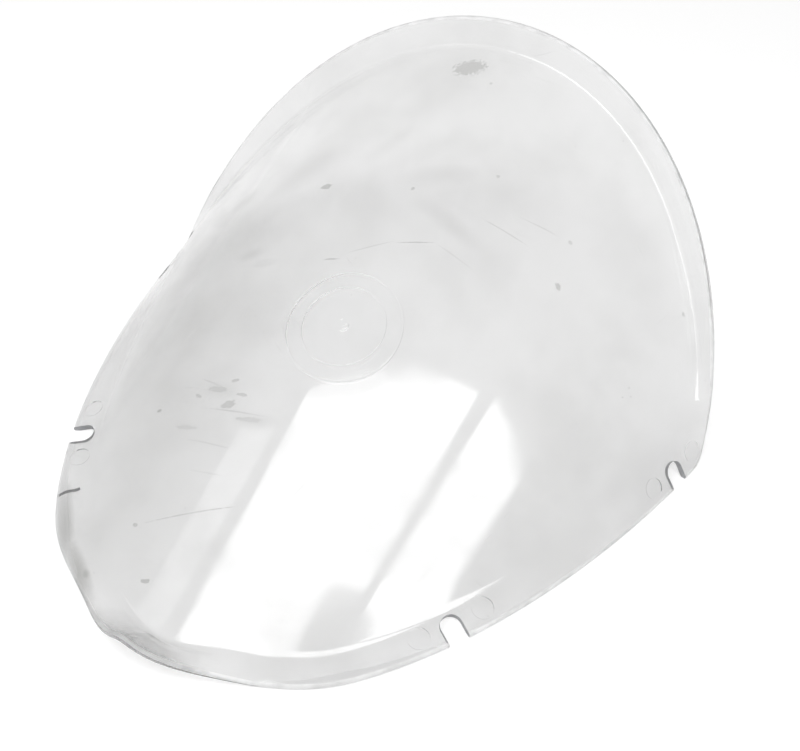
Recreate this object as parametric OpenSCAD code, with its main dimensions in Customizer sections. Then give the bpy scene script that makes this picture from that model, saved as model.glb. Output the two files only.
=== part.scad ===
// Clear moulded windscreen for a small moped fairing.
// One thin shell: a tilted, nearly cylindrical face with a turned-out rim all round,
// four open bolt notches in the lower rim and a turned-up chin.
// Millimetres, +Z up, the mirror plane is X = 0, the chin points to -Y,
// and the lower rim stands on Z = 0.

/* [Overall] */
// width over the rim at its widest
screen_width = 313; // [230:1:400]
// length in plan from the chin tip to the top lip
screen_length = 326; // [250:1:410]
// height of the face above the base plane at the middle of the length
crown_height = 66; // [54:1:80]
// thickness of the moulded sheet
wall = 3; // [2.2:0.1:4]

/* [Face] */
// how far the sides of the face fall below its middle line
face_sag = 67; // [50:1:84]
// radius of the gentle bow along the upper half
bow_radius = 1600; // [900:50:4000]
// gap left between the face and the base plane where the face ends at the chin
chin_gap = 2; // [0:0.5:8]

/* [Rim] */
// width of the lower rim seen from above
rim_width = 12.5; // [12:0.5:18]
// width of the rim seen from above at the middle of the top lip
lip_width = 3.3; // [2.5:0.1:6]
// width of the lip's rim seen from above, along its sides
lip_side_width = 5.7; // [3:0.1:8]
// rise of the top lip above the face at the middle
lip_rise = 13; // [8:0.5:18]
// distance from the mirror plane over which the lip's rim widens to its side width
lip_spread = 118; // [90:1:125]
// height over which the rim narrows from the lower rim's width to the lip's side width
lip_blend = 40; // [30:1:60]
// how much wider than the side corners the top lip's outline would grow
lip_spare = 4; // [2:0.5:12]
// distance over which the face bends into the rim
bend_length = 2.5; // [2:0.5:4]
// distance of the side corners behind the middle of the length
corner_back = 68; // [50:1:84]
// how much wider than the side corners the lower outline would grow
outline_spare = 17; // [10:1:34]
// length of the chin rim seen from above, on the mirror plane
chin_rim = 16; // [14:1:28]
// rise of the chin tip above the base plane
chin_rise = 23; // [0:1:26]
// distance from the mirror plane at which the edge starts to rise to the chin tip
chin_run = 52; // [40:1:60]
// half width of the tapered chin
chin_half = 42; // [28:1:50]
// how far the chin's sides are drawn in, which makes its outline a blunt V
chin_taper = 7; // [0:0.5:10]

/* [Notches] */
// width of each open bolt notch
notch_width = 10; // [6:0.5:12.5]
// depth of each notch from the rim edge to the end of its round
notch_depth = 11; // [8:0.5:12.5]
// distance of the rear notches ahead of the side corners
notch_setback = 17; // [14:1:26]
// distance between the front and rear notches along the screen
notch_spacing = 130; // [100:1:150]

/* [Moulding marks] */
// diameter of the round ejector marks beside each notch
mark_diameter = 10; // [4:0.5:11]
// depth of the ejector marks
mark_depth = 0.4; // [0.2:0.1:0.8]
// distance of each ejector mark from the middle of its notch, along the rim
mark_offset = 16; // [14:0.5:24]
// distance of the middle of each ejector mark from the rim edge
mark_inset = 6.8; // [6:0.1:8]
// outer radius of the plain moulded ring on the face
ring_radius = 28.5; // [24:0.5:36]
// width of the ring's raised line
ring_line = 1.6; // [1:0.1:3]
// height of the raised line over the face
ring_height = 0.6; // [0.3:0.1:1.2]
// radius of the finer inner line
inner_ring_radius = 20; // [10:0.5:21]
// diameter of the moulding gate's stub in the middle of the ring
gate_diameter = 6; // [3:0.5:10]

/* [Hidden] */
half_width = screen_width / 2;
half_length = screen_length / 2;
face_half = half_width - rim_width;
face_radius = (face_half * face_half + face_sag * face_sag) / (2 * face_sag);
tilt = atan((crown_height - chin_gap) / (half_length - chin_rim));
flat_trim = 0.35;
edge_z = wall / 2 - flat_trim;
// lower outline: part of an ellipse in plan, from the chin to the side corner
low_a = half_width + outline_spare / 2;
low_end = asin(half_width / low_a);
low_b = (corner_back + half_length) / (1 - cos(low_end));
// upper lip: part of an ellipse in its own tilted plane
lip_a = half_width + lip_spare / 2;
lip_end = asin(half_width / lip_a);
lip_y = half_length - corner_back;
lip_z = face_z(0, half_length - lip_width) + lip_rise - edge_z;
// share of the half outline that is lower rim
low_part = 0.55;
// stations on half of the lower rim and half of the top lip
low_steps = 34;
lip_steps = 30;
// how strongly stations gather at the chin and at the side corners
chin_gather = 0.5;
corner_gather = 1.35;
// steps along the outline, whose half is 1: corner rounding, local tangent, bend direction
soften = 0.0022;
near = 0.003;
far = 0.025;
// how fast the chin rim narrows to the side rim
chin_fade = 1.8;
// how gently the edge starts its rise to the chin tip
chin_ease = 1.5;
// most of the rim's own length that the bend may take up
bend_limit = 0.45;
mark_floor = wall / 2 - mark_depth;
trim_size = 2 * (screen_width + screen_length);
$fn = 96;

// the face: a cylinder tilted about X, bowed a little behind the middle
function drop(x) = face_radius - sqrt(max(face_radius * face_radius - x * x, 1));
function bow(y) = y > 0 ? y * y / (2 * bow_radius) : 0;
function face_z(x, y) = crown_height + y * tan(tilt) - drop(x) / cos(tilt) - bow(y);

// the rim's outer edge on the +X half, v = 0 at the chin and 1 at the top
function low_edge(a) = let (x = low_a * sin(a), k = min(x / chin_half, 2))
    [x, -half_length + low_b * (1 - cos(a)) + chin_taper * pow(sin(90 * k), 2),
    edge_z + chin_rise * pow(max(1 - x / chin_run, 0), chin_ease)];
function lip_edge(a) = let (q = (1 - cos(a)) / (1 - cos(lip_end)))
    [lip_a * sin(a), half_length - lip_y * q, edge_z + lip_z * (1 - q)];
function half_edge(v) = v < low_part ? low_edge(low_end * v / low_part)
    : lip_edge(lip_end * (1 - v) / (1 - low_part));
function wrap(u) = u > 1 ? u - 2 : (u < -1 ? u + 2 : u);
function raw_edge(u) = let (w = wrap(u), p = half_edge(abs(w))) w < 0 ? [-p[0], p[1], p[2]] : p;
function total(list, i = 0) = i == len(list) - 1 ? list[i] : list[i] + total(list, i + 1);
// a short running mean rounds the side corners and the chin
function edge(u) = total([for (k = [-4:4]) raw_edge(u + k * soften)]) / 9;

function unit(v) = v / norm(v);
// outward in plan, taken over a longer stretch so that the bend turns the corners smoothly
function out_dir(u) = let (t = edge(u + far) - edge(u - far)) unit([t[1], -t[0], 0]);
function smooth(t) = let (c = min(max(t, 0), 1)) c * c * (3 - 2 * c);
// rim width in plan: the chin rim, the lower rim and the narrower top lip
function lip_rim(x) = lip_width + (lip_side_width - lip_width) * smooth(pow(x / lip_spread, 3));
function plan_rim(u) = let (v = abs(wrap(u)), e = edge(u), x = abs(e[0]))
    v < low_part ? rim_width + (chin_rim - rim_width) * exp(-pow(chin_fade * x / chin_half, 2))
    : rim_width + (lip_rim(x) - rim_width) * smooth((e[2] - edge_z) / lip_blend);
function on_face(p) = [p[0], p[1], face_z(p[0], p[1])];
function crease(u) = on_face(edge(u) - plan_rim(u) * out_dir(u));
function bend_start(u) = on_face(edge(u) - (plan_rim(u) + bend_length) * out_dir(u));

function curve(a, b, c, k) = (1 - k) * (1 - k) * a + 2 * k * (1 - k) * b + k * k * c;

// a point on the face at radius r from the middle, in the direction of a plan point
function on_circle(r, p) = let (w = atan2(p[0], -p[1] / cos(tilt)))
    on_face([r * sin(w), -r * cos(w) * cos(tilt)]);

// the middle surface along one station, from the ring out to the rim edge
line_radii = [0.9 * gate_diameter / 2, gate_diameter / 2,
    inner_ring_radius - ring_line / 2, inner_ring_radius - ring_line / 4, inner_ring_radius,
    ring_radius - ring_line, ring_radius - 0.85 * ring_line, ring_radius - 0.15 * ring_line, ring_radius];
line_heights = ring_height * [1, 0, 0, 0.7, 0, 0, 1, 1, 0];
face_shares = [0.2, 0.4, 0.59, 0.77, 0.91];
function station(u) = let (e = edge(u), c = crease(u), s = bend_start(u),
    l = norm(e - c), f = c + (e - c) * min(bend_length / l, bend_limit), r = on_circle(ring_radius, s))
    concat([for (q = line_radii) on_circle(q, s)],
        [for (k = face_shares) on_face(r + k * (s - r))],
        [s], [for (k = [0.25, 0.5, 0.75]) curve(s, c, f, k)], [f, (f + e) / 2, e]);

// station positions: closer together at the chin and at the side corners
low_list = [for (i = [0:low_steps - 1]) let (t = i / low_steps)
    low_part * (t - chin_gather * sin(360 * t) / (2 * PI))];
lip_list = [for (i = [0:lip_steps]) low_part + (1 - low_part) * pow(i / lip_steps, corner_gather)];
half_list = concat(low_list, lip_list);
last = len(half_list) - 1;
around = concat(half_list, [for (i = [last - 1:-1:1]) -half_list[i]]);
n = len(around);

grid = [for (u = around) station(u)];
rows = len(grid[0]);
function at(i, j) = grid[(i + n) % n][j];
lines = len(line_radii);
centre = on_face([0, 0]);
function normal_at(i, j) =
    let (s = at(i + 1, j) - at(i - 1, j),
        o = (j == rows - 1 ? at(i, j) : at(i, j + 1)) - (j == 0 ? centre : at(i, j - 1)))
    unit(cross(o, s));
normals = [for (i = [0:n - 1]) [for (j = [0:rows - 1]) normal_at(i, j)]];
centre_normal = [0, -sin(tilt), cos(tilt)];

// one ring of points for each row: over the top, round the edge and back underneath
turns = [36, 72, 108, 144];
function ring_points(j) = let (h = wall / 2 + (j < lines ? line_heights[j] : 0))
    [for (i = [0:n - 1]) at(i, j) + h * normals[i][j]];
function under_points(j) = [for (i = [0:n - 1]) at(i, j) - wall / 2 * normals[i][j]];
function round_points(a) = [for (i = [0:n - 1]) let (e = at(i, rows - 1), d = unit(e - at(i, rows - 2)))
    e + wall / 2 * (cos(a) * normals[i][rows - 1] + sin(a) * d)];
rings = concat([for (j = [0:rows - 1]) ring_points(j)], [for (a = turns) round_points(a)],
    [for (j = [rows - 1:-1:lines - 1]) under_points(j)]);
ring_count = len(rings);
points = concat([for (r = rings) for (p = r) p],
    [centre + (wall / 2 + ring_height) * centre_normal, centre - wall / 2 * centre_normal]);
top_point = ring_count * n;
faces = concat(
    [for (r = [0:ring_count - 2]) for (i = [0:n - 1]) let (k = (i + 1) % n)
        each [[r * n + i, r * n + k, (r + 1) * n + i], [r * n + k, (r + 1) * n + k, (r + 1) * n + i]]],
    [for (i = [0:n - 1]) [top_point, (i + 1) % n, i]],
    [for (i = [0:n - 1]) [top_point + 1, (ring_count - 1) * n + i, (ring_count - 1) * n + (i + 1) % n]]);

// rim frame at station u: x out along the rim, y along the edge, z out of the top side
module on_rim(u, back) {
    e = edge(u);
    d = unit(e - crease(u));
    t = unit(edge(u + near) - edge(u - near));
    m = unit(cross(d, t));
    y = cross(m, d);
    p = e - back * d;
    multmatrix([[d[0], y[0], m[0], p[0]], [d[1], y[1], m[1], p[1]], [d[2], y[2], m[2], p[2]], [0, 0, 0, 1]])
        children();
}

// place along the lower outline where the edge reaches a given y
function low_at(y) = low_part * acos(1 - (y + half_length) / low_b) / low_end;
rear_notch_y = corner_back - notch_setback;
notch_places = [low_at(rear_notch_y - notch_spacing), low_at(rear_notch_y)];
// how much of the outline one millimetre of rim takes near u
function per_mm(u) = 2 * near / norm(edge(u + near) - edge(u - near));

module sheet() {
    polyhedron(points = points, faces = faces, convexity = 6);
}

// U-shaped notch: a round end with straight sides that run out over the edge
module notch(u) {
    on_rim(u, notch_depth - notch_width / 2) {
        cylinder(h = 6 * wall, d = notch_width, center = true);
        translate([0, -notch_width / 2, -3 * wall])
            cube([notch_depth + wall, notch_width, 6 * wall]);
    }
}

module ejector_mark(u) {
    on_rim(u, mark_inset)
        translate([0, 0, mark_floor]) cylinder(h = wall, d = mark_diameter);
}

module windscreen() {
    color([0.82, 0.85, 0.86, 0.6])
    difference() {
        sheet();
        for (u = notch_places) for (side = [1, -1]) {
            notch(side * u);
            for (k = [1, -1]) ejector_mark(side * (u + k * mark_offset * per_mm(u)));
        }
        translate([-trim_size / 2, -trim_size / 2, -trim_size]) cube(trim_size);
    }
}

windscreen();
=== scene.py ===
from math import asin, atan, atan2, cos, exp, pi, radians, sin, sqrt, tan

import bmesh
import bpy
from mathutils import Matrix, Vector


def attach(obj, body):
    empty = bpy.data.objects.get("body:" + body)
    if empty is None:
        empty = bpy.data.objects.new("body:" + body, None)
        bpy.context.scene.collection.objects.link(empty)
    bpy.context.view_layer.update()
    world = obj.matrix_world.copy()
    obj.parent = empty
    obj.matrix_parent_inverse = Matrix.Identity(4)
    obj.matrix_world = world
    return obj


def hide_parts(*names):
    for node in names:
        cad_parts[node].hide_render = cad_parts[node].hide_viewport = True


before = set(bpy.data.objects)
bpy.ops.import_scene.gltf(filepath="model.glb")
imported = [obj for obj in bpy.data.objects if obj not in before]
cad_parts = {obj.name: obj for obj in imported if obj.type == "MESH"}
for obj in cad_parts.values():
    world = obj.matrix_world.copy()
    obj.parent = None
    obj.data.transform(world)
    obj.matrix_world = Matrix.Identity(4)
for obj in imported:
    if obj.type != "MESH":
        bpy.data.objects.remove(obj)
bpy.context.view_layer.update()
print("frame loaded")

# the photo's view: a short tele lens, looking down on the screen from its right front
cameraSetup = {
    "place": (0.2371, -0.3299, 0.4383),
    "downTurn": radians(45.1),
    "sideTurn": radians(32.07),
    "lens": 54,
    "sensorWidth": 36,
}


def addCamera(setup):
    turn = (setup["downTurn"], 0, setup["sideTurn"])
    bpy.ops.object.camera_add(location=setup["place"], rotation=turn)
    camera = bpy.context.object
    camera.data.lens = setup["lens"]
    camera.data.sensor_width = setup["sensorWidth"]
    camera.data.clip_start = 0.01
    camera.data.clip_end = 60
    bpy.context.scene.camera = camera


addCamera(cameraSetup)

# the moulded sheet, in metres
screen = {
    "halfWidth": 0.1565,
    "halfLength": 0.16295,
    "crown": 0.066,  # height of the face at the middle of the length
    "wall": 0.003,
    "faceSag": 0.067,  # how far the face's sides fall below its middle line
    "bowRadius": 1.6,
    "chinGap": 0.002,
    "rimWidth": 0.0125,
    "lipWidth": 0.0033,
    "lipSideWidth": 0.0057,
    "lipRise": 0.013,
    "lipSpread": 0.118,  # the lip's rim has its side width from here on
    "lipPower": 3,
    "lipBlend": 0.04,  # the lower rim has narrowed to the lip's rim at this height
    "lipSpare": 0.002,
    "bendLength": 0.0025,
    "bendLimit": 0.45,
    "cornerBack": 0.068,  # side corners behind the middle of the length
    "outlineSpare": 0.0085,
    "chinRim": 0.016,
    "chinRise": 0.023,
    "chinRun": 0.052,  # the edge starts to rise here
    "chinEase": 1.5,
    "chinHalf": 0.042,
    "chinTaper": 0.007,
    "chinFade": 1.8,
    "flatTrim": 0.00035,  # taken off under the rim, where it stands
}

# rows and stations of the mesh
mesh = {
    "lowSteps": 106,  # stations on half of the lower rim
    "lipSteps": 94,
    "lowPart": 0.55,  # share of the half outline that is lower rim
    "chinGather": 0.5,  # draws stations to the chin
    "cornerGather": 1.35,  # draws stations to the side corners
    "soften": 0.0022,  # step of the running mean along the edge
    "softenSteps": 4,  # to each side
    "far": 0.025,  # half the span of the wide tangent
    "near": 0.003,  # half the span of the close tangent
    "faceRows": 16,
    "faceGather": 0.9,
    "bendRows": 8,
    "rimRows": 3,
    "edgeRows": 10,
    "cutterSteps": 64,  # round the notches and ejector marks
    "tolerance": 1e-6,
    "smoothAngle": radians(32),
}

# the plain raised ring on the face, with its finer inner line and the gate stub
marking = {
    "ringRadius": 0.0277,
    "ringHalf": 0.0007,
    "innerRadius": 0.02,
    "innerHalf": 0.0004,
    "innerCrest": 0.7,  # share of the full height
    "rowsEachSide": 5,  # of a ring's crest
    "gateRadius": 0.003,
    "gateProfile": ((0.4, 1), (0.7, 1), (0.84, 0.96), (0.93, 0.75), (1.0, 0.15), (1.1, 0)),
    "height": 0.0006,
    "plainRows": (0.0036, 0.006, 0.012, 0.0185, 0.0193, 0.0207, 0.0215, 0.0262, 0.0266, 0.0288, 0.0296),
}

faceHalf = screen["halfWidth"] - screen["rimWidth"]
faceRadius = (faceHalf ** 2 + screen["faceSag"] ** 2) / (2 * screen["faceSag"])
tilt = atan((screen["crown"] - screen["chinGap"]) / (screen["halfLength"] - screen["chinRim"]))
edgeHeight = screen["wall"] / 2 - screen["flatTrim"]


def faceHeight(x, y):
    drop = faceRadius - sqrt(max(faceRadius ** 2 - x * x, 1e-6))
    bow = y * y / (2 * screen["bowRadius"]) if y > 0 else 0
    return screen["crown"] + y * tan(tilt) - drop / cos(tilt) - bow


def onFace(p):
    return Vector((p[0], p[1], faceHeight(p[0], p[1])))


lowA = screen["halfWidth"] + screen["outlineSpare"]
lowEnd = asin(screen["halfWidth"] / lowA)
lowB = (screen["cornerBack"] + screen["halfLength"]) / (1 - cos(lowEnd))
lipA = screen["halfWidth"] + screen["lipSpare"]
lipEnd = asin(screen["halfWidth"] / lipA)
lipY = screen["halfLength"] - screen["cornerBack"]
lipZ = faceHeight(0, screen["halfLength"] - screen["lipWidth"]) + screen["lipRise"] - edgeHeight


def lowEdge(a):  # lower rim, flat on the table but for the rising chin
    x = lowA * sin(a)
    k = min(x / screen["chinHalf"], 2)
    y = -screen["halfLength"] + lowB * (1 - cos(a)) + screen["chinTaper"] * sin(k * pi / 2) ** 2
    rise = screen["chinRise"] * max(1 - x / screen["chinRun"], 0) ** screen["chinEase"]
    return Vector((x, y, edgeHeight + rise))


def lipEdge(a):  # top lip, an ellipse in its own steep plane
    q = (1 - cos(a)) / (1 - cos(lipEnd))
    return Vector((lipA * sin(a), screen["halfLength"] - lipY * q, edgeHeight + lipZ * (1 - q)))


def wrap(u):
    return u - 2 if u > 1 else (u + 2 if u < -1 else u)


def sharpEdge(u):
    w = wrap(u)
    v = abs(w)
    part = mesh["lowPart"]
    p = lowEdge(lowEnd * v / part) if v < part else lipEdge(lipEnd * (1 - v) / (1 - part))
    return Vector((-p.x, p.y, p.z)) if w < 0 else p


def edge(u):  # a short running mean rounds the side corners and the chin
    steps = mesh["softenSteps"]
    total = sum((sharpEdge(u + k * mesh["soften"]) for k in range(-steps, steps + 1)), Vector())
    return total / (2 * steps + 1)


def outward(u):
    t = edge(u + mesh["far"]) - edge(u - mesh["far"])
    return Vector((t.y, -t.x, 0)).normalized()


def smoothStep(t):
    c = min(max(t, 0), 1)
    return c * c * (3 - 2 * c)


def planRim(u):
    e, v = edge(u), abs(wrap(u))
    x = abs(e.x)
    rim, top, side = screen["rimWidth"], screen["lipWidth"], screen["lipSideWidth"]
    if v < mesh["lowPart"]:
        return rim + (screen["chinRim"] - rim) * exp(-(screen["chinFade"] * x / screen["chinHalf"]) ** 2)
    lip = top + (side - top) * smoothStep((x / screen["lipSpread"]) ** screen["lipPower"])
    return rim + (lip - rim) * smoothStep((e.z - edgeHeight) / screen["lipBlend"])


def crease(u):
    return onFace(edge(u) - planRim(u) * outward(u))


def onCircle(r, p):
    w = atan2(p.x, -p.y / cos(tilt))
    return onFace((r * sin(w), -r * cos(w) * cos(tilt)))


# radius and raised share of each row of the marking, from the middle out
def markingRows():
    rows = [(marking["gateRadius"] * r, h) for r, h in marking["gateProfile"]]
    steps = marking["rowsEachSide"]
    for radius, half, crest in ((marking["innerRadius"], marking["innerHalf"], marking["innerCrest"]),
                                (marking["ringRadius"], marking["ringHalf"], 1)):
        for k in range(-steps, steps + 1):
            t = k / steps
            rows.append((radius + half * t, crest * sqrt(1 - t * t)))
    return sorted(rows + [(r, 0) for r in marking["plainRows"]])


raisedRows = markingRows()


# middle surface along one station, from the marking out to the rim edge
def station(u):
    e, c = edge(u), crease(u)
    s = onFace(edge(u) - (planRim(u) + screen["bendLength"]) * outward(u))
    f = c + (e - c) * min(screen["bendLength"] / (e - c).length, screen["bendLimit"])
    last = onCircle(raisedRows[-1][0], s)
    points = [onCircle(r, s) for r, h in raisedRows]
    for k in range(1, mesh["faceRows"]):
        points.append(onFace(last + (s - last) * (k / mesh["faceRows"]) ** mesh["faceGather"]))
    for k in range(mesh["bendRows"] + 1):
        t = k / mesh["bendRows"]
        points.append((1 - t) ** 2 * s + 2 * t * (1 - t) * c + t * t * f)
    for k in range(1, mesh["rimRows"] + 1):
        points.append(f + (e - f) * k / mesh["rimRows"])
    return points


def stationPlaces():
    part, right = mesh["lowPart"], []
    for i in range(mesh["lowSteps"]):
        t = i / mesh["lowSteps"]
        right.append(part * (t - mesh["chinGather"] * sin(2 * pi * t) / (2 * pi)))
    for i in range(mesh["lipSteps"] + 1):
        right.append(part + (1 - part) * (i / mesh["lipSteps"]) ** mesh["cornerGather"])
    return right + [-v for v in right[-2:0:-1]]


around = stationPlaces()
stations = [station(u) for u in around]
count, rowCount = len(around), len(stations[0])
middle = onFace((0, 0))


def sheetNormal(i, j):
    along = stations[(i + 1) % count][j] - stations[i - 1][j]
    outer = stations[i][min(j + 1, rowCount - 1)]
    inner = stations[i][j - 1] if j else middle
    return (outer - inner).cross(along).normalized()


normals = [[sheetNormal(i, j) for j in range(rowCount)] for i in range(count)]
half = screen["wall"] / 2


def topRow(j):
    lift = half + (raisedRows[j][1] * marking["height"] if j < len(raisedRows) else 0)
    return [stations[i][j] + lift * normals[i][j] for i in range(count)]


def edgeRow(angle):  # the rim edge is fully rounded
    row = []
    for i in range(count):
        out = (stations[i][-1] - stations[i][-2]).normalized()
        row.append(stations[i][-1] + half * (cos(angle) * normals[i][-1] + sin(angle) * out))
    return row


def underRow(j):
    return [stations[i][j] - half * normals[i][j] for i in range(count)]


rows = [topRow(j) for j in range(rowCount)]
rows += [edgeRow(pi * k / mesh["edgeRows"]) for k in range(1, mesh["edgeRows"])]
rows += [underRow(j) for j in range(rowCount - 1, len(raisedRows) - 2, -1)]


# moves the selected ring of vertices to its points, or leaves it where it is
def placeRow(ob, points, finish):
    shape = bmesh.from_edit_mesh(ob.data)
    place = shape.verts.layers.int["station"]
    for v in shape.verts:
        if v.select:
            v.co = points[v[place]] if points else v.co
            for f in v.link_faces:
                f.material_index = finish
    bmesh.update_edit_mesh(ob.data)


# order of the finishes on the sheet
finishes = {"upper": 0, "edge": 1, "cut": 2, "under": 3}


def finishOf(k):  # the upper half of the rounded edge is worn matt by handling and painted light as a highlight
    if k < rowCount:
        return finishes["upper"]
    return finishes["edge" if k < rowCount + mesh["edgeRows"] // 2 else "under"]


# the gate stub's top is a filled circle: its rim is drawn out row by row over the face,
# round the edge and back underneath, and closed in the middle
def makeSheet():
    bpy.ops.object.select_all(action="DESELECT")
    bpy.ops.mesh.primitive_circle_add(vertices=count, radius=marking["gateRadius"], fill_type="TRIFAN")
    ob = bpy.context.object
    ob.name = "windscreenSheet"
    bpy.ops.object.mode_set(mode="EDIT")
    bpy.ops.mesh.select_mode(type="VERT")
    shape = bmesh.from_edit_mesh(ob.data)
    place = shape.verts.layers.int.new("station")
    shape.verts.ensure_lookup_table()
    hub = next(v for v in shape.verts if len(v.link_edges) > 3)
    circle = [v for v in shape.verts if v is not hub]
    for i, v in enumerate(circle):
        v[place] = i
        v.select = True
    hub.co = middle + (half + marking["height"]) * Vector((0, -sin(tilt), cos(tilt)))
    hub.select = False
    shape.select_flush(False)
    for e in shape.edges:
        e.select = e.is_boundary
    bmesh.update_edit_mesh(ob.data)
    placeRow(ob, rows[0], finishes["upper"])
    for k, points in enumerate(rows[1:], 1):
        bpy.ops.mesh.extrude_edges_move()
        placeRow(ob, points, finishOf(k))
    bpy.ops.mesh.extrude_edges_move()
    bpy.ops.mesh.merge(type="CENTER")
    placeRow(ob, None, finishes["under"])
    bpy.ops.mesh.select_all(action="SELECT")
    bpy.ops.mesh.normals_make_consistent(inside=False)
    bpy.ops.mesh.bisect(plane_co=(0, 0, 0), plane_no=(0, 0, 1), use_fill=True, clear_inner=True,
                        threshold=mesh["tolerance"])
    bpy.ops.object.mode_set(mode="OBJECT")
    return ob


sheet = makeSheet()
low, high = sheet.bound_box[0], sheet.bound_box[6]
print("sheet:", len(sheet.data.polygons), "faces, from", tuple(low), "to", tuple(high))

# dirt on the screen, and painted shade along the lower left rim: middle, half length and half width in
# millimetres, turn in degrees, strength
smudgesAndShade = {
    # how soft and how ragged the edge of each kind of mark is
    "edges": {"blots": (0.45, 1), "clouds": (1.1, 0.2), "lines": (0.6, 0.8), "rubbed": (1.1, 0.2)},
    "spread": 1.1,  # a mark fades out at this share of its size
    "ragged": 1.2,
    "raggedScale": 640,
    "blots": (
        (-17.7, 142.9, 9.5, 5.2, 20, 0.8), (-51.6, 62.6, 3.2, 1.7, 20, 0.9), (75.7, 64.9, 1.8, 1.2, -30, 0.8),
        (-64.5, -61.4, 1.2, 1, 0, 1), (-38.3, -111.9, 1.6, 1, 0, 0.9), (-17.5, -130.5, 2.4, 1.2, 20, 0.9),
        (-2.3, 137, 1, 1, 0, 0.6), (126, 101.2, 1.1, 1, 0, 0.5), (-6.8, 71, 1, 1, 0, 0.6),
        (27, 93, 1.2, 0.9, 0, 0.5), (70.7, 85, 1.1, 0.9, 0, 0.5), (-30, -51, 4, 2, 30, 0.6),
        (-40, -46, 6, 1.6, 8, 0.6), (-16, -54, 7, 1.3, 14, 0.5), (-44, -66, 6, 1.2, 10, 0.45),
        (-34, -40, 2.4, 1, 20, 0.6), (-48, -51, 2.4, 0.9, -10, 0.6), (-26, -45, 3.4, 0.9, 10, 0.6),
        (-71, 22, 9, 3, 20, 0.35), (-60, 17, 7, 2, 12, 0.3)),
    "clouds": (
        (-40, -46, 14, 7, 8, 0.3), (-13, -54, 14, 5, 14, 0.25), (-44, -66, 13, 5, 10, 0.25),
        (-71, 22, 16, 8, 20, 0.45), (-60, 18, 17, 6, 12, 0.3), (-101.7, 57.7, 16, 9, 60, 0.45),
        (-72, 70, 34, 15, 48, 0.35), (-85, -12, 130, 60, 98, 0.35), (-50, -100, 72, 54, 120, 0.3),
        # painted shade: the last mark on this line and the two on the next paint the dark band along the
        # lower left rim, from the crack to the chin
        (-10, 122, 130, 48, 0, 0.28), (-74, -122, 36, 6, -46, 0.9),
        (-51, -138, 31, 6, -33, 0.85), (-46, -139, 7, 3.4, -35, 1),
        (20, 62, 24, 6, -12, 0.25), (4, 84, 28, 9, 25, 0.25), (-30, 96, 24, 10, 60, 0.25)),
    # thin lines: both ends, half width, strength
    "lines": (
        (0.5, 43.2, 17.8, 50.8, 0.35, 0.6), (-28, 25, -20, 27.5, 0.5, 0.6),
        (30, 71.1, 56.8, 71.5, 0.4, 0.35), (46, 80.9, 65.9, 84, 0.4, 0.3),
        (-53.6, -42.8, -30.5, -45.3, 0.6, 0.4), (17.8, 50.8, 40, 48, 0.4, 0.2),
        (-43.3, -56.1, -7.2, -49.8, 0.5, 0.35), (-38.3, -111.9, 2.9, -87.5, 0.5, 0.6),
        (-20, 30, 0, 44, 0.4, 0.3), (-43.8, -71.3, -14, -68, 0.5, 0.3), (-36, -84, -8, -79, 0.5, 0.25)),
    # where handling has rubbed the sheet matt
    "rubbed": ((0, -157, 62, 15, 0, 1), (-62, -131, 40, 10, -37, 0.6), (-135, 0, 90, 16, 98, 0.5)),
}


def addNode(tree, kind, **settings):
    node = tree.nodes.new(kind)
    for name, value in settings.items():
        setattr(node, name, value)
    return node


# a node group with a Vector input, one input for each named number, and these outputs
def newGroup(name, numbers, outputs):
    group = bpy.data.node_groups.new(name, "ShaderNodeTree")
    group.interface.new_socket("Vector", in_out="INPUT", socket_type="NodeSocketVector")
    for label, value in numbers.items():
        group.interface.new_socket(label, in_out="INPUT", socket_type="NodeSocketFloat").default_value = value
    for label in outputs:
        group.interface.new_socket(label, in_out="OUTPUT", socket_type="NodeSocketFloat")
    return group, group.nodes.new("NodeGroupInput"), group.nodes.new("NodeGroupOutput")


def feed(tree, value, socket):  # a number or a link
    if isinstance(value, (int, float)):
        socket.default_value = value
    else:
        tree.links.new(value, socket)


def joinValues(tree, kind, a, b):
    node = addNode(tree, "ShaderNodeMath", operation=kind)
    feed(tree, a, node.inputs[0])
    feed(tree, b, node.inputs[1])
    return node.outputs[0]


def ramp(tree, value, low, high, start=0, end=1):
    node = addNode(tree, "ShaderNodeMapRange", interpolation_type="SMOOTHSTEP")
    for name, number in (("From Min", low), ("From Max", high), ("To Min", start), ("To Max", end)):
        node.inputs[name].default_value = number
    tree.links.new(value, node.inputs["Value"])
    return node.outputs[0]


def noiseOf(tree, vector, scale, detail):
    node = tree.nodes.new("ShaderNodeTexNoise")
    feed(tree, scale, node.inputs["Scale"])
    node.inputs["Detail"].default_value = detail
    tree.links.new(vector, node.inputs["Vector"])
    return node.outputs["Fac"]


# middle, half length, half width, turn, strength, softness and raggedness of each mark
def marksOf(*kinds):
    return [mark + smudgesAndShade["edges"][kind] for kind in kinds for mark in smudgesAndShade[kind]]


def lineMarks():
    marks = []
    for x1, y1, x2, y2, thick, strength in smudgesAndShade["lines"]:
        long = sqrt((x2 - x1) ** 2 + (y2 - y1) ** 2) / 2
        turn = atan2(y2 - y1, x2 - x1) * 180 / pi
        marks.append(((x1 + x2) / 2, (y1 + y2) / 2, long, thick, turn, strength) + smudgesAndShade["edges"]["lines"])
    return marks


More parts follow.
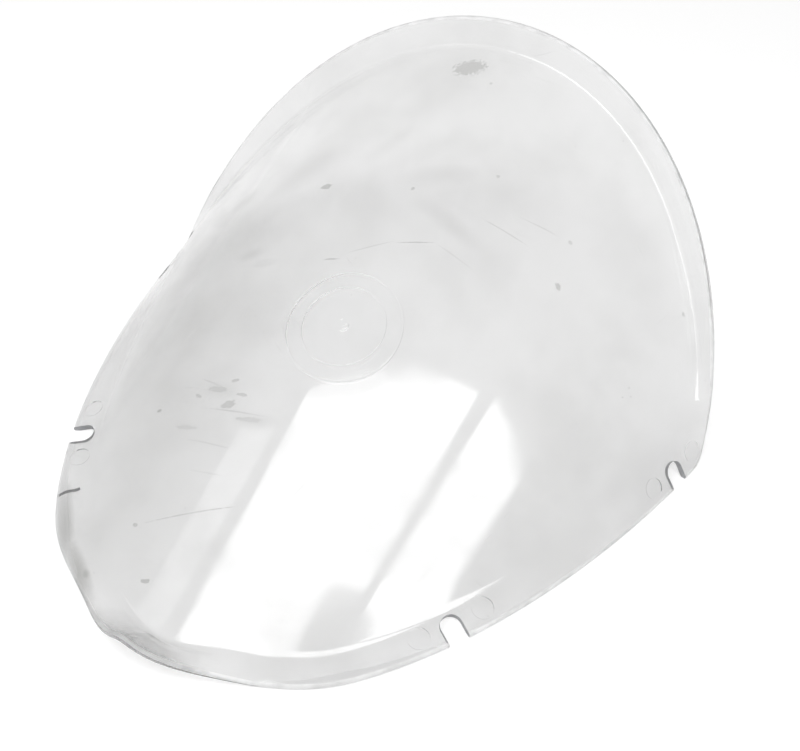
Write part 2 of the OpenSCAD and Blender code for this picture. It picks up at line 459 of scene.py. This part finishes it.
# each mark is an ellipse in plan whose edge a noise makes ragged
def markGroup(name, marks):
    group, start, end = newGroup(name, {"Ragged": smudgesAndShade["ragged"]}, ("Mask",))
    vector, spread = start.outputs["Vector"], smudgesAndShade["spread"]
    rough = joinValues(group, "SUBTRACT", noiseOf(group, vector, smudgesAndShade["raggedScale"], 3), 0.5)
    rough = joinValues(group, "MULTIPLY", rough, start.outputs["Ragged"])
    mask = None
    for x, y, long, short, turn, strength, soft, ragged in marks:
        place = addNode(group, "ShaderNodeMapping", vector_type="TEXTURE")
        place.inputs["Location"].default_value = (x / 1000, y / 1000, 0)
        place.inputs["Rotation"].default_value = (0, 0, radians(turn))
        place.inputs["Scale"].default_value = (long / 1000, short / 1000, 1)
        group.links.new(vector, place.inputs["Vector"])
        reach = addNode(group, "ShaderNodeVectorMath", operation="LENGTH")
        group.links.new(place.outputs["Vector"], reach.inputs[0])
        fray = joinValues(group, "MULTIPLY", rough, ragged)
        outline = joinValues(group, "ADD", reach.outputs["Value"], fray)
        one = ramp(group, outline, spread, spread - soft, 0, strength)
        mask = one if mask is None else joinValues(group, "MAXIMUM", mask, one)
    group.links.new(mask, end.inputs["Mask"])
    return group


# wear all over: a cloudy haze, hair-fine scratches both ways and a little dust
ageing = {
    "hazeScale": 22,
    "hazeRange": (0.32, 0.72),
    "scratchTurn": 0.5,  # on the upper face
    "underTurn": 1.7,
    "scratchWays": ((0, (55, 2600, 55)), (1.35, (40, 2100, 40))),  # added turn, stretch of the noise
    "scratchRange": (0.7, 0.8),
    "patchScale": 30,
    "patchRange": (0.45, 0.65),
    "dustScale": 170,
    "dustSize": (0.09, 0.04),
    "dustPatchScale": 45,
    "dustPatchRange": (0.56, 0.62),
}


def wearGroup():
    numbers = {"Scale": ageing["hazeScale"], "Turn": ageing["scratchTurn"]}
    group, start, end = newGroup("wear", numbers, ("Haze", "Scratches", "Dust"))
    vector = start.outputs["Vector"]
    haze = noiseOf(group, vector, start.outputs["Scale"], 3)
    group.links.new(ramp(group, haze, *ageing["hazeRange"]), end.inputs["Haze"])
    total = None
    for extra, stretch in ageing["scratchWays"]:
        turned = addNode(group, "ShaderNodeVectorRotate", rotation_type="Z_AXIS")
        group.links.new(vector, turned.inputs["Vector"])
        group.links.new(joinValues(group, "ADD", start.outputs["Turn"], extra), turned.inputs["Angle"])
        place = group.nodes.new("ShaderNodeMapping")
        place.inputs["Scale"].default_value = stretch
        group.links.new(turned.outputs["Vector"], place.inputs["Vector"])
        lines = ramp(group, noiseOf(group, place.outputs["Vector"], 1, 1), *ageing["scratchRange"])
        total = lines if total is None else joinValues(group, "MAXIMUM", total, lines)
    patches = ramp(group, noiseOf(group, vector, ageing["patchScale"], 2), *ageing["patchRange"])
    group.links.new(joinValues(group, "MULTIPLY", total, patches), end.inputs["Scratches"])
    specks = group.nodes.new("ShaderNodeTexVoronoi")
    specks.inputs["Scale"].default_value = ageing["dustScale"]
    group.links.new(vector, specks.inputs["Vector"])
    dot = ramp(group, specks.outputs["Distance"], *ageing["dustSize"])
    chosen = ramp(group, noiseOf(group, vector, ageing["dustPatchScale"], 1), *ageing["dustPatchRange"])
    group.links.new(joinValues(group, "MULTIPLY", dot, chosen), end.inputs["Dust"])
    return group


# clear, slightly grey plastic that has aged
plastic = {
    "colour": (0.84, 0.84, 0.84, 1),
    # this colour is also the painted shade along the lower left rim
    "dirtAndShadeColour": (0.4, 0.4, 0.39, 1),
    "ior": 1.49,
    "polish": 0.05,  # roughness where it is clean
    "hazyPolish": 0.12,
    "rubRoughness": 0.14,  # added where it is rubbed
    "scratchRoughness": 0.2,
    "hazeTint": 0.15,
    "scratchTint": 0.3,
    "dustTint": 0.6,
    "waveHeight": 0.0012,  # the moulded face is slightly wavy
    "waveStrength": 0.15,
    "waveScale": 17,
}

# the rounded rim edge is matt from handling and painted light grey as a painted highlight, and the cut walls
# are painted dark grey as painted shade in the notches and the crack, with dirt on top
edgeFinishAndHighlight = {
    # painted highlight: light grey that stands in for the bright line along the clear edge
    "colour": (0.92, 0.92, 0.92, 1),
    "dirtAndShade": (0.25, 0.25, 0.245, 1),
    "roughness": 0.4,
    "transmission": 0.65,
    "gloss": 0.5,
}
cutFinishAndShade = {
    # painted shade: dark grey on the walls of the notches and the crack
    "colour": (0.4, 0.405, 0.42, 1),
    "dirtAndShade": (0.1, 0.1, 0.1, 1),
    "roughness": 0.5,
    "transmission": 0.3,
    "gloss": 0.2,
}
edgeWear = {"hazeScale": 160, "hazeTint": 0.3, "hazeRoughness": 0.15}  # finer than on the face

smudgeAndShadeMarks = marksOf("blots", "clouds") + lineMarks()
smudgeAndShadeNodes = markGroup("smudgesAndShade", smudgeAndShadeMarks)
rubNodes = markGroup("rubbed", marksOf("rubbed"))
wearNodes = wearGroup()


def placeGroup(tree, group, vector, **values):
    node = addNode(tree, "ShaderNodeGroup", node_tree=group)
    tree.links.new(vector, node.inputs["Vector"])
    for name, value in values.items():
        node.inputs[name].default_value = value
    return node


def mixColours(tree, amount, first, second):  # 6, 7 and 2 are a Mix node's colour sockets
    node = addNode(tree, "ShaderNodeMix", data_type="RGBA")
    node.inputs[6].default_value = first
    node.inputs[7].default_value = second
    tree.links.new(amount, node.inputs[0])
    return node.outputs[2]


def newMaterial(name):
    mat = bpy.data.materials.new(name)
    mat.use_nodes = True
    return mat, mat.node_tree, mat.node_tree.nodes["Principled BSDF"]


# only the upper face has smudges, dust and the painted shade along the lower left rim
def clearPlastic(name, withSmudgesAndShade):
    mat, tree, shader = newMaterial(name)
    vector = tree.nodes.new("ShaderNodeTexCoord").outputs["Object"]
    wear = placeGroup(tree, wearNodes, vector, Turn=ageing["scratchTurn" if withSmudgesAndShade else "underTurn"])
    haze = joinValues(tree, "MULTIPLY", wear.outputs["Haze"], plastic["hazeTint"])
    matt = wear.outputs["Haze"]
    grimeAndShade = joinValues(tree, "MULTIPLY", wear.outputs["Scratches"], plastic["scratchTint"])
    if withSmudgesAndShade:
        dirtAndShade = placeGroup(tree, smudgeAndShadeNodes, vector).outputs["Mask"]
        matt = joinValues(tree, "MAXIMUM", matt, dirtAndShade)
        specks = joinValues(tree, "MULTIPLY", wear.outputs["Dust"], plastic["dustTint"])
        grimeAndShade = joinValues(tree, "MAXIMUM", grimeAndShade, joinValues(tree, "MAXIMUM", dirtAndShade, specks))
    grimeAndShade = joinValues(tree, "ADD", grimeAndShade, haze)
    # the smudge mask mixes in painted shade along the lower left rim as well as dirt
    colour = mixColours(tree, grimeAndShade, plastic["colour"], plastic["dirtAndShadeColour"])
    tree.links.new(colour, shader.inputs["Base Color"])
    matt = joinValues(tree, "ADD", ramp(tree, matt, 0, 1, plastic["polish"], plastic["hazyPolish"]),
                      joinValues(tree, "MULTIPLY", wear.outputs["Scratches"], plastic["scratchRoughness"]))
    rubbed = placeGroup(tree, rubNodes, vector).outputs["Mask"]
    matt = joinValues(tree, "ADD", matt, joinValues(tree, "MULTIPLY", rubbed, plastic["rubRoughness"]))
    tree.links.new(matt, shader.inputs["Roughness"])
    wave = tree.nodes.new("ShaderNodeBump")
    wave.inputs["Distance"].default_value = plastic["waveHeight"]
    wave.inputs["Strength"].default_value = plastic["waveStrength"]
    tree.links.new(noiseOf(tree, vector, plastic["waveScale"], 1), wave.inputs["Height"])
    tree.links.new(wave.outputs["Normal"], shader.inputs["Normal"])
    shader.inputs["IOR"].default_value = plastic["ior"]
    shader.inputs["Transmission Weight"].default_value = 1
    return mat


# the colour of each finish is painted: a highlight on the rim edge, shade on the cut walls; haze and smudges
# add dirt and the shade band along the lower left rim
def wornEdgeWithPaintedLight(name, finish):
    mat, tree, shader = newMaterial(name)
    vector = tree.nodes.new("ShaderNodeTexCoord").outputs["Object"]
    wear = placeGroup(tree, wearNodes, vector, Scale=edgeWear["hazeScale"])
    grimeAndShade = joinValues(tree, "MULTIPLY", wear.outputs["Haze"], edgeWear["hazeTint"])
    grimeAndShade = joinValues(tree, "MAXIMUM", grimeAndShade, placeGroup(tree, smudgeAndShadeNodes, vector).outputs["Mask"])
    tree.links.new(mixColours(tree, grimeAndShade, finish["colour"], finish["dirtAndShade"]), shader.inputs["Base Color"])
    rough = finish["roughness"]
    rough = ramp(tree, wear.outputs["Haze"], 0, 1, rough, rough + edgeWear["hazeRoughness"])
    tree.links.new(rough, shader.inputs["Roughness"])
    shader.inputs["IOR"].default_value = plastic["ior"]
    shader.inputs["Transmission Weight"].default_value = finish["transmission"]
    shader.inputs["Specular IOR Level"].default_value = finish["gloss"]
    return mat


materials = {
    "upper": clearPlastic("upperFace", True),
    "edge": wornEdgeWithPaintedLight("mattEdgeWithHighlight", edgeFinishAndHighlight),
    "cut": wornEdgeWithPaintedLight("cutWithPaintedShade", cutFinishAndShade),
    "under": clearPlastic("underFace", False),
}
for name in finishes:
    sheet.data.materials.append(materials[name])
print("plastic:", len(smudgeAndShadeMarks), "smudges and lines")

# open bolt notches, cut square to the rim
notches = {
    "radius": 0.005,
    "depth": 0.011,
    "places": (-0.079, 0.051),  # along the screen, on the rim edge
    "reach": 0.018,  # of the cutter, out past the rim and through it
}

# a short crack that runs in from the rim edge on the left of the chin
crack = {
    "place": -0.1106,  # along the screen, on the rim edge
    "length": 0.0078,
    "gap": 0.0002,
    "bend": 0.0006,
    "waves": 4.5,  # phase of the bend over its length
    "lean": 0.3,
    "deep": 0.012,  # of the cutter
    "parts": 7,
}

# shallow round ejector marks beside each notch
ejectors = {
    "radius": 0.005,
    "depth": 0.0004,
    "offset": 0.016,  # along the rim, from the middle of the notch
    "inset": 0.0068,  # from the rim edge
}


def placeAt(y):  # place along the lower rim where the edge reaches y
    a = 1 - (y + screen["halfLength"]) / lowB
    return mesh["lowPart"] * atan2(sqrt(1 - a * a), a) / lowEnd


def perMetre(u):
    return 2 * mesh["near"] / (edge(u + mesh["near"]) - edge(u - mesh["near"])).length


def rimFrame(u, back):  # x out along the rim, y along the edge, z out of the top side
    e = edge(u)
    out = (e - crease(u)).normalized()
    along = (edge(u + mesh["near"]) - edge(u - mesh["near"])).normalized()
    up = out.cross(along).normalized()
    turn = Matrix((out, up.cross(out), up)).transposed().to_4x4()
    return Matrix.Translation(e - back * out) @ turn


def notchCutter(u):
    bpy.ops.mesh.primitive_cylinder_add(vertices=mesh["cutterSteps"], radius=notches["radius"],
                                        depth=notches["reach"])
    ob = bpy.context.object
    bpy.ops.object.mode_set(mode="EDIT")
    shape = bmesh.from_edit_mesh(ob.data)
    for v in shape.verts:  # the outer half is drawn out past the rim
        v.select = v.co.x > -mesh["tolerance"]
    shape.select_flush(True)
    bmesh.update_edit_mesh(ob.data)
    bpy.ops.transform.translate(value=(notches["reach"], 0, 0))
    bpy.ops.object.mode_set(mode="OBJECT")
    ob.data.transform(rimFrame(u, notches["depth"] - notches["radius"]))
    ob.data.materials.append(materials["cut"])
    return ob


def crackCutter():
    bpy.ops.mesh.primitive_cube_add(size=1)
    ob = bpy.context.object
    bpy.ops.object.mode_set(mode="EDIT")
    bpy.ops.mesh.subdivide(number_cuts=crack["parts"])
    bpy.ops.transform.resize(value=(crack["length"] + screen["wall"], crack["gap"], crack["deep"]))
    shape = bmesh.from_edit_mesh(ob.data)
    for v in shape.verts:
        v.co.x -= crack["length"] / 2
        v.co.y += crack["bend"] * sin(v.co.x / crack["length"] * crack["waves"]) + crack["lean"] * v.co.x
    bmesh.update_edit_mesh(ob.data)
    bpy.ops.object.mode_set(mode="OBJECT")
    ob.data.transform(rimFrame(-placeAt(crack["place"]), 0))
    ob.data.materials.append(materials["cut"])
    return ob


def ejectorCutter(u):
    floor = half - ejectors["depth"]
    bpy.ops.mesh.primitive_cylinder_add(vertices=mesh["cutterSteps"], radius=ejectors["radius"],
                                        depth=screen["wall"], location=(0, 0, floor + half))
    ob = bpy.context.object
    bpy.ops.object.transform_apply()
    ob.data.transform(rimFrame(u, ejectors["inset"]))
    ob.data.materials.append(materials["upper"])
    return ob


def cutSheet(ob):
    cutters = [crackCutter()]
    for y in notches["places"]:
        for side in (1, -1):
            u = placeAt(y)
            cutters.append(notchCutter(side * u))
            for k in (1, -1):
                cutters.append(ejectorCutter(side * (u + k * ejectors["offset"] * perMetre(u))))
    bpy.ops.object.select_all(action="DESELECT")
    for c in cutters:
        c.select_set(True)
    bpy.context.view_layer.objects.active = cutters[0]
    bpy.ops.object.join()
    tool = bpy.context.object
    bpy.ops.object.select_all(action="DESELECT")
    ob.select_set(True)
    bpy.context.view_layer.objects.active = ob
    cut = ob.modifiers.new("cut", "BOOLEAN")
    cut.operation = "DIFFERENCE"
    cut.solver = "EXACT"
    cut.object = tool
    bpy.ops.object.modifier_apply(modifier="cut")
    bpy.data.objects.remove(tool)


cutSheet(sheet)
bpy.ops.object.shade_smooth_by_angle(angle=mesh["smoothAngle"])
cutFaces = sum(f.material_index == finishes["cut"] for f in sheet.data.polygons)
print("cut:", len(sheet.data.polygons), "faces,", cutFaces, "of them in the cuts")

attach(sheet, "root")
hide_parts("windscreen")

# table and light
studio = {
    "floorSize": 30,
    "floorColour": 0.7,
    "floorGlow": 0.38,
    "farGlow": 0.62,  # keeps the floor white beyond the lamps
    "nearReach": 0.7,
    "farReach": 2.2,
    "floorRoughness": 0.9,
    "worldLight": 0.62,
    "bounces": 24,  # light runs far inside the clear sheet
}

# soft boxes over the table: middle, size, turn in degrees, radiance
panels = {
    "mainPanel": ((-0.07, -0.365, 1.0), (0.68, 0.44), 7, 4.5),
    "mainPanelWing": ((0.365, -0.25, 1.0), (0.23, 0.32), 7, 4.5),
    "sidePanel": ((0.84, -0.24, 1.0), (0.55, 0.36), -1, 4.5),
    "farPanel": ((-0.66, -0.43, 1.0), (0.28, 0.37), 0, 1.2),
}


def seen(tree):  # 1 for rays that show the background: camera, glossy and transmission rays
    path = tree.nodes.new("ShaderNodeLightPath").outputs
    direct = joinValues(tree, "MAXIMUM", path["Is Camera Ray"], path["Is Glossy Ray"])
    return joinValues(tree, "MAXIMUM", direct, path["Is Transmission Ray"])


def makeFloor():
    bpy.ops.mesh.primitive_plane_add(size=studio["floorSize"])
    floor = bpy.context.object
    floor.name = "floor"
    mat, tree, shader = newMaterial("whiteTable")
    grey = studio["floorColour"]
    shader.inputs["Base Color"].default_value = (grey, grey, grey, 1)
    shader.inputs["Roughness"].default_value = studio["floorRoughness"]
    shader.inputs["Specular IOR Level"].default_value = 0
    shader.inputs["Emission Color"].default_value = (1, 1, 1, 1)
    reach = addNode(tree, "ShaderNodeVectorMath", operation="LENGTH")
    tree.links.new(tree.nodes.new("ShaderNodeTexCoord").outputs["Object"], reach.inputs[0])
    glow = ramp(tree, reach.outputs["Value"], studio["nearReach"], studio["farReach"],
                studio["floorGlow"], studio["farGlow"])
    tree.links.new(joinValues(tree, "MULTIPLY", seen(tree), glow), shader.inputs["Emission Strength"])
    floor.data.materials.append(mat)


def makeWorld():
    world = bpy.data.worlds.new("paleRoom")
    bpy.context.scene.world = world
    world.use_nodes = True
    tree = world.node_tree
    back = tree.nodes["Background"]
    back.inputs["Color"].default_value = (1, 1, 1, 1)
    mix = tree.nodes.new("ShaderNodeMapRange")
    mix.inputs["To Min"].default_value = studio["worldLight"]
    mix.inputs["To Max"].default_value = 1
    tree.links.new(seen(tree), mix.inputs["Value"])
    tree.links.new(mix.outputs[0], back.inputs["Strength"])


def addPanel(name, place, size, turn, radiance):
    bpy.ops.object.light_add(type="AREA", location=place, rotation=(0, 0, radians(turn)))
    lamp = bpy.context.object
    lamp.name = name
    lamp.data.shape = "RECTANGLE"
    lamp.data.size = size[0]
    lamp.data.size_y = size[1]
    lamp.data.energy = radiance * pi * size[0] * size[1]  # a one-sided panel's power


makeFloor()
makeWorld()
for name, values in panels.items():
    addPanel(name, *values)
print("studio ready:", len(panels), "panels")

bpy.context.scene.view_settings.view_transform = "Standard"
cycles = bpy.context.scene.cycles
cycles.max_bounces = cycles.glossy_bounces = cycles.transmission_bounces = studio["bounces"]
